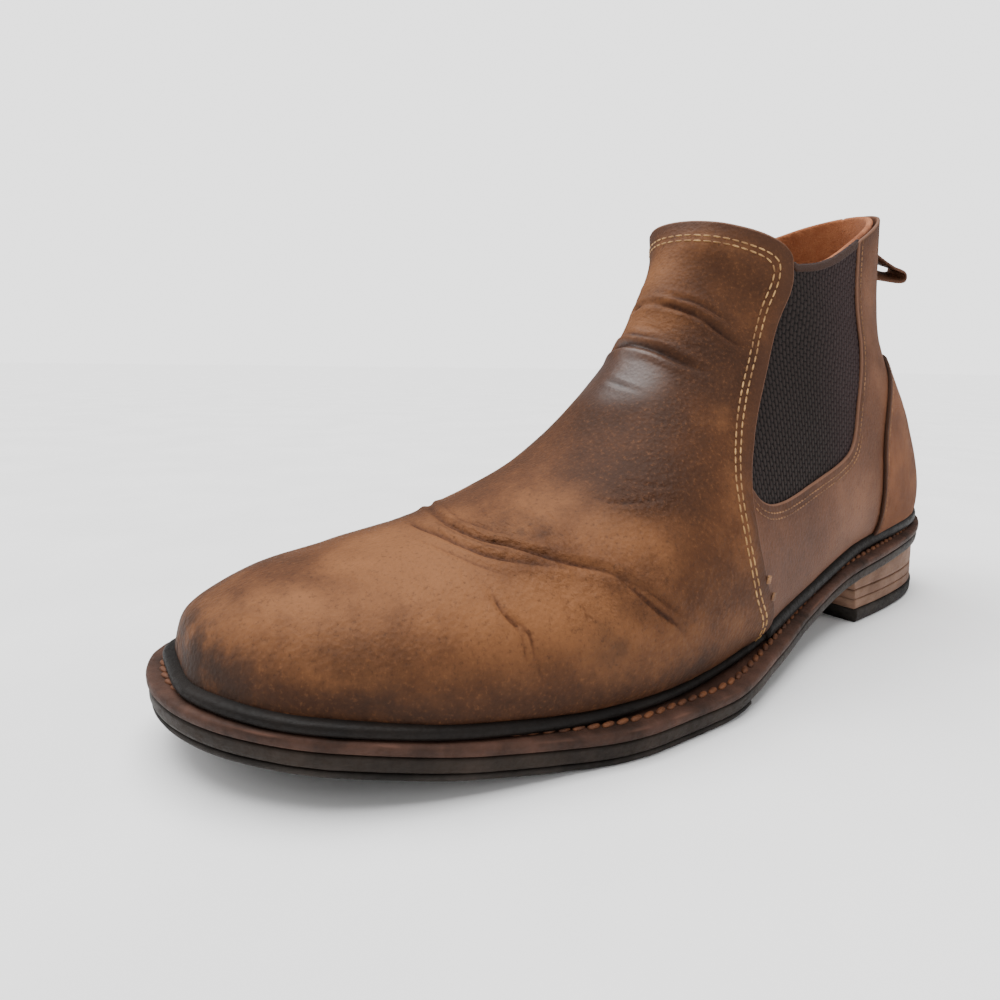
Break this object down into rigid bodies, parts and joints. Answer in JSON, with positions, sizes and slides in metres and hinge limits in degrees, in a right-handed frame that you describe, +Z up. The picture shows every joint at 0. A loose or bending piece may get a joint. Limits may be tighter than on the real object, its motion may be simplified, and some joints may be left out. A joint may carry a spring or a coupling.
{
  "type": "chelsea boot",
  "caption": "Ankle-height pull-on left boot with elastic side gores, leather vamp and quarters, welted sole with stacked heel, and a pull loop at the back.",
  "frame": {"origin": "on the floor at the middle of the box that the boot fills, heel top piece and ball of the sole on z = 0", "axes": "+Y along the boot towards the heel (the toe points to -Y), +X towards the outer (lateral) side, +Z up"},
  "size_m": [0.112, 0.31, 0.1555],
  "materials": {
    "vamp_leather": "waxed nubuck, mid brown, creased and scuffed",
    "quarter_leather": "smooth brown leather",
    "counter_suede": "rust-tan suede",
    "gore_elastic": "near-black woven elastic, honeycomb rib",
    "gore_binding": "dark purple-brown bound edge",
    "lining_suede": "orange-rust suede-like lining",
    "backing_fabric": "cotton backing cloth",
    "stiffener_board": "pressed fibre stiffener",
    "rand": "smooth black-brown bead",
    "welt": "reddish-brown, worn paler at its top edge",
    "outsole": "dark stained edge",
    "black_rubber": "matte moulded rubber",
    "stacked_leather": "stacked lifts, brown, scuffed",
    "nail_brass": "plain",
    "insole_leather": "plain",
    "cork": "granulated cork",
    "shank_steel": "plain",
    "heel_foam": "soft foam"
  },
  "bodies": {
    "root": {"bottom_filler": "cork", "counter_patch": "counter_suede", "forepart_tread": "black_rubber", "gore_binding_lateral": "gore_binding", "gore_binding_medial": "gore_binding", "gore_lateral": "gore_elastic", "gore_medial": "gore_elastic", "heel_counter": "stiffener_board", "heel_cushion": "heel_foam", "heel_grip": "lining_suede", "heel_lift_1": "stacked_leather", "heel_lift_2": "stacked_leather", "heel_lift_3": "stacked_leather", "heel_nail_1": "nail_brass", "heel_nail_2": "nail_brass", "heel_nail_3": "nail_brass", "heel_nail_4": "nail_brass", "heel_nail_5": "nail_brass", "heel_top_piece": "black_rubber", "insole_board": "insole_leather", "insole_rib": "backing_fabric", "outsole": "outsole", "pull_loop_base": "quarter_leather", "quarter_lateral": "quarter_leather", "quarter_lining_lateral": "lining_suede", "quarter_lining_medial": "lining_suede", "quarter_medial": "quarter_leather", "rand_front": "rand", "rand_rear": "rand", "shank": "shank_steel", "sock_liner": "lining_suede", "toe_puff": "stiffener_board", "vamp": "vamp_leather", "vamp_interlining": "backing_fabric", "vamp_lining": "lining_suede", "welt": "welt"},
    "loop": {"pull_loop": "quarter_leather"}
  },
  "joints": [
    {"name": "pull_loop_fold", "type": "hinge", "parent": "root", "child": "loop", "pos_m": [-0.01053, 0.12494, 0.144], "axis": [1, 0, 0], "range_deg": [-60, 75], "stiffness_Nm_per_rad": 0.004}
  ]
}
